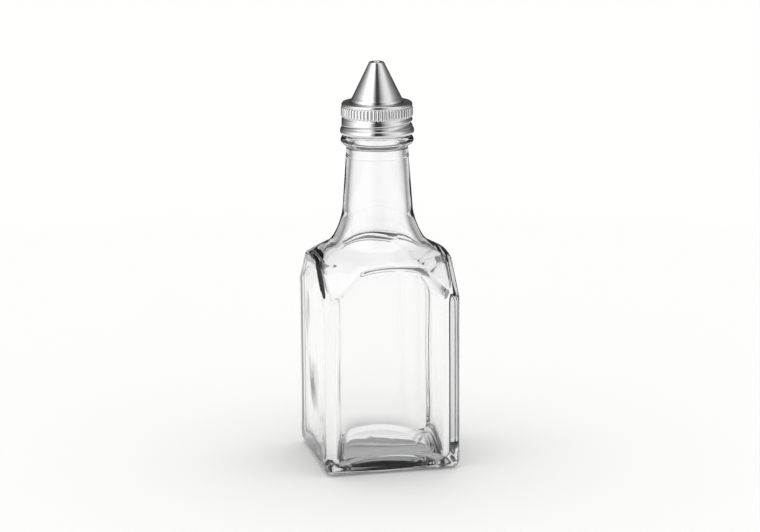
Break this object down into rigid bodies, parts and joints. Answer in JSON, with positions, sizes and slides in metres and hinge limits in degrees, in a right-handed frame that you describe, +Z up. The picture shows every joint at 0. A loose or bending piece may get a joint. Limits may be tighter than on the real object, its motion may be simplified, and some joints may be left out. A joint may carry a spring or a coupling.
{
  "type": "glass oil bottle",
  "caption": "Square glass oil cruet with cut-off shoulders, a round neck, a knurled metal screw band and a conical pour spout that lifts as the band unscrews.",
  "frame": {"origin": "middle of the underside, on the surface the bottle stands on", "axes": "+Z up along the bottle's axis, -Y towards the front panel, +X to the front panel's right"},
  "size_m": [0.057, 0.057, 0.1663],
  "materials": {
    "glass": "clear fire-polished soda-lime glass",
    "band_metal": "bright rolled and knurled sheet",
    "cone_metal": "spun sheet with fine circular brushing",
    "gasket": "pale translucent silicone"
  },
  "bodies": {
    "bottle": {"glass_bottle": "glass"},
    "spout": {"pour_cone": "cone_metal", "sealing_gasket": "gasket"},
    "band": {"screw_band": "band_metal"}
  },
  "joints": [
    {"name": "cap_lift", "type": "slide", "parent": "bottle", "child": "spout", "axis": [0, 0, 1], "range_m": [0, 0.0107]},
    {"name": "cap_turn", "type": "hinge", "parent": "spout", "child": "band", "pos_m": [0, 0, 0.143], "axis": [0, 0, 1], "range_deg": [0, 900]}
  ],
  "couplings": [
    {"joint": "cap_lift", "follows": "cap_turn", "m_per_rad": 0.0006737}
  ]
}
